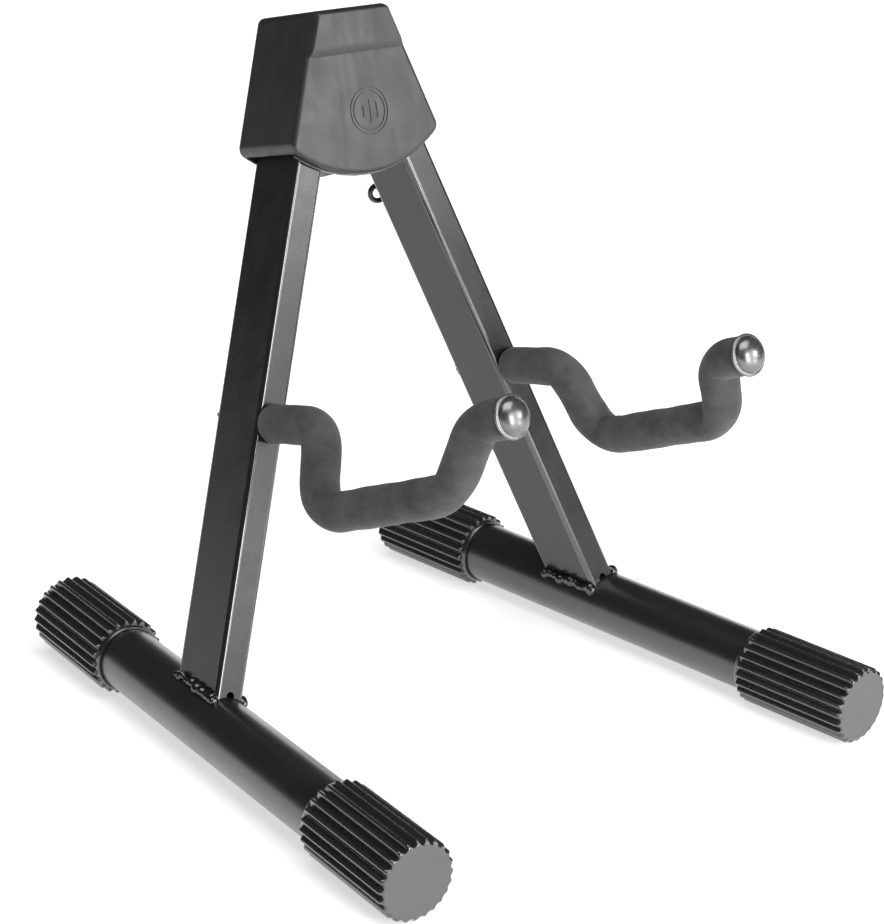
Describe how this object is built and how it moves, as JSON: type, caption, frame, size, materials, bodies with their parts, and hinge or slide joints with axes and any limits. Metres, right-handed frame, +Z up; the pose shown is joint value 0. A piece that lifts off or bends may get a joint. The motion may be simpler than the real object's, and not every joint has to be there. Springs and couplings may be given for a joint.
{
  "type": "folding guitar stand",
  "caption": "Folding A-frame stand that holds one guitar on two padded arms, with a moulded head and ribbed rubber feet.",
  "frame": {"origin": "on the floor, at the centre of the bounding box's bottom face", "axes": "+X to the stand's own right leg (the picture's right), -Y to the front where the arms reach out, +Z up"},
  "size_m": [0.2798, 0.2806, 0.2914],
  "materials": {
    "black_steel": "gloss black powder coat",
    "head_plastic": "fine moulded texture",
    "black_rubber": "smooth moulded",
    "grey_foam": "closed-cell foam, matt",
    "gloss_cap": "polished",
    "zinc_steel": "bright zinc plate",
    "nylon": "natural nylon"
  },
  "bodies": {
    "head": {"head_cover": "head_plastic", "front_plate": "black_steel", "rear_plate": "black_steel", "stop_block": "nylon", "stop_block_bolt": "zinc_steel", "stop_block_nut": "zinc_steel", "upper_cover_screw": "zinc_steel", "lower_cover_screw": "zinc_steel", "lock_barrel": "black_steel", "lock_spring": "zinc_steel", "left_hinge_pin": "zinc_steel", "right_hinge_pin": "zinc_steel"},
    "left_leg": {"left_leg_tube": "black_steel", "left_hinge_bush": "nylon", "left_base_tube": "black_steel", "left_outer_weld": "black_steel", "left_inner_weld": "black_steel", "left_front_foot": "black_rubber", "left_rear_foot": "black_rubber", "left_arm_rod": "black_steel", "left_arm_foam": "grey_foam", "left_arm_cap": "gloss_cap", "left_arm_weld": "black_steel"},
    "right_leg": {"right_leg_tube": "black_steel", "right_hinge_bush": "nylon", "right_base_tube": "black_steel", "right_outer_weld": "black_steel", "right_inner_weld": "black_steel", "right_front_foot": "black_rubber", "right_rear_foot": "black_rubber", "right_arm_rod": "black_steel", "right_arm_foam": "grey_foam", "right_arm_cap": "gloss_cap", "right_arm_weld": "black_steel"},
    "lock_pin": {"lock_pin": "zinc_steel"},
    "pull_ring": {"pull_ring": "black_steel"}
  },
  "joints": [
    {"name": "left_leg_fold", "type": "hinge", "parent": "head", "child": "left_leg", "pos_m": [-0.0189, 0.07727, 0.25103], "axis": [0, -0.9672, 0.2541], "range_deg": [0, 20]},
    {"name": "right_leg_fold", "type": "hinge", "parent": "head", "child": "right_leg", "pos_m": [0.0189, 0.07727, 0.25103], "axis": [0, 0.9672, -0.2541], "range_deg": [0, 20]},
    {"name": "lock_pin_pull", "type": "slide", "parent": "head", "child": "lock_pin", "axis": [0, 0.9672, -0.2541], "range_m": [0, 0.0028], "stiffness_N_per_m": 400, "springref_m": -0.002, "deforming": ["lock_spring"]},
    {"name": "pull_ring_swing", "type": "hinge", "parent": "lock_pin", "child": "pull_ring", "pos_m": [0.0368, 0.09101, 0.20513], "axis": [0.9397, -0.342, 0], "range_deg": [-20, 75]}
  ]
}
